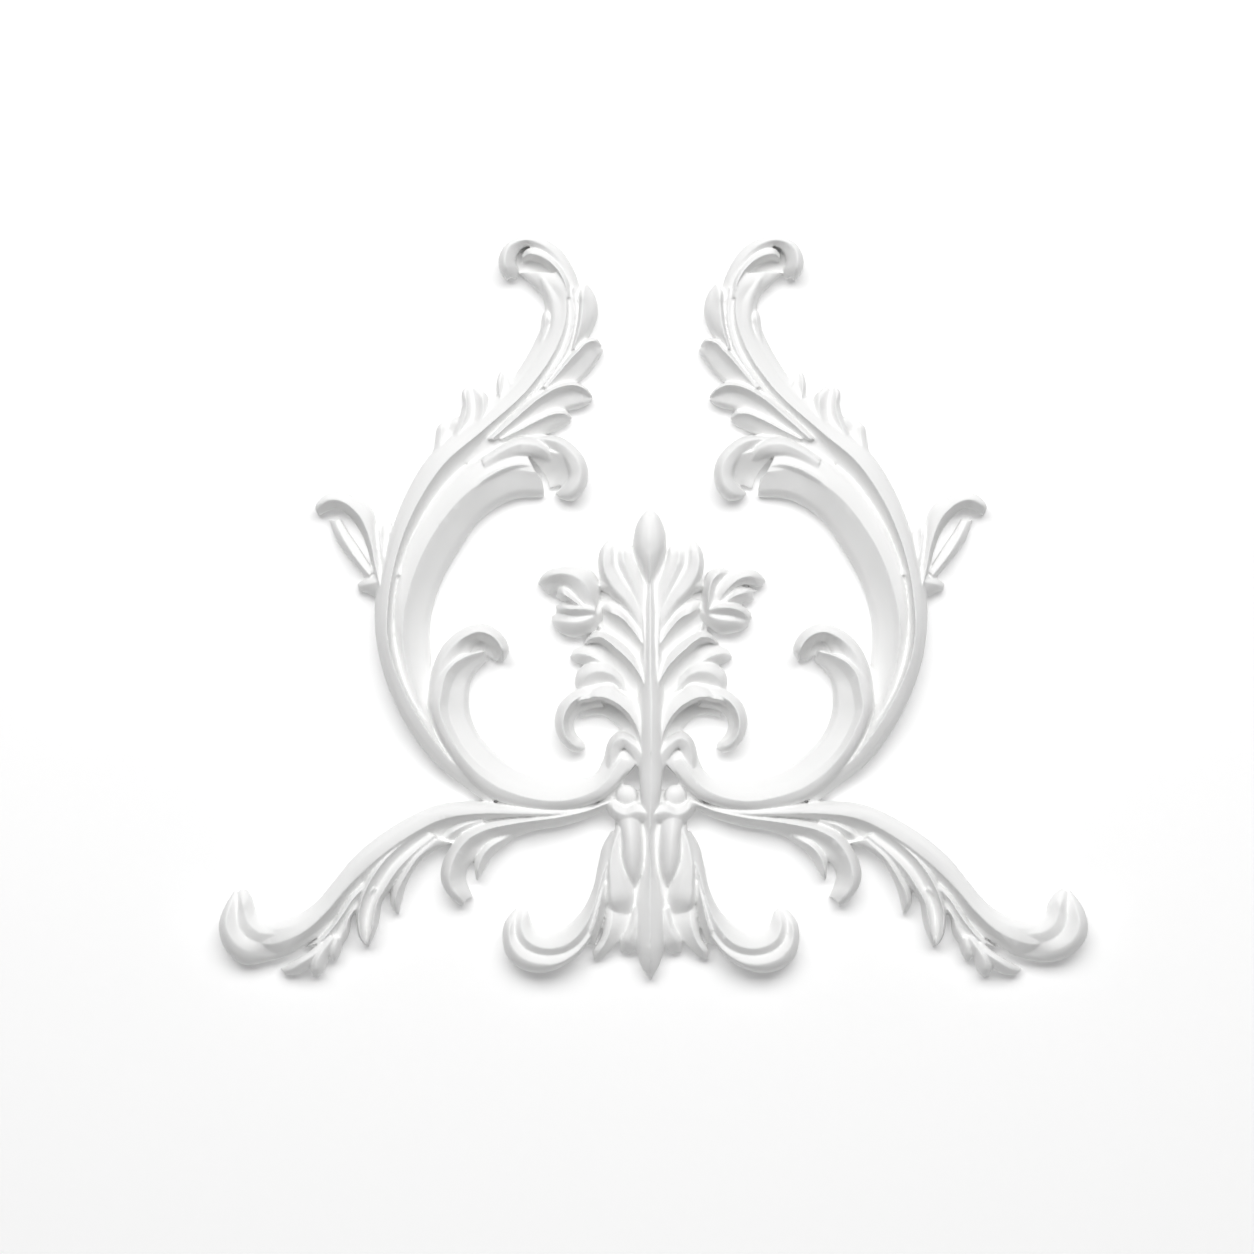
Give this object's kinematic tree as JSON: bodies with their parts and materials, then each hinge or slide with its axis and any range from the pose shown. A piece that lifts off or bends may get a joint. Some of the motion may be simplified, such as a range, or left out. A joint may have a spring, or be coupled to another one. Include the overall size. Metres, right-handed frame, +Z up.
{
  "type": "acanthus palmette applique",
  "caption": "Cast white plaster wall applique with a leafy palmette on a centre stem, mirrored acanthus scrolls above and to the sides, and a flat back.",
  "frame": {"origin": "on the flat back, behind the centre stem where the lower scrolls meet it", "axes": "+X to the right as the applique is seen on the wall, +Y from the front into the wall, +Z up"},
  "size_m": [0.4296, 0.0237, 0.3698],
  "materials": {
    "white_plaster": "matt white cast plaster"
  },
  "bodies": {
    "root": {"acanthus_applique": "white_plaster"}
  },
  "joints": []
}
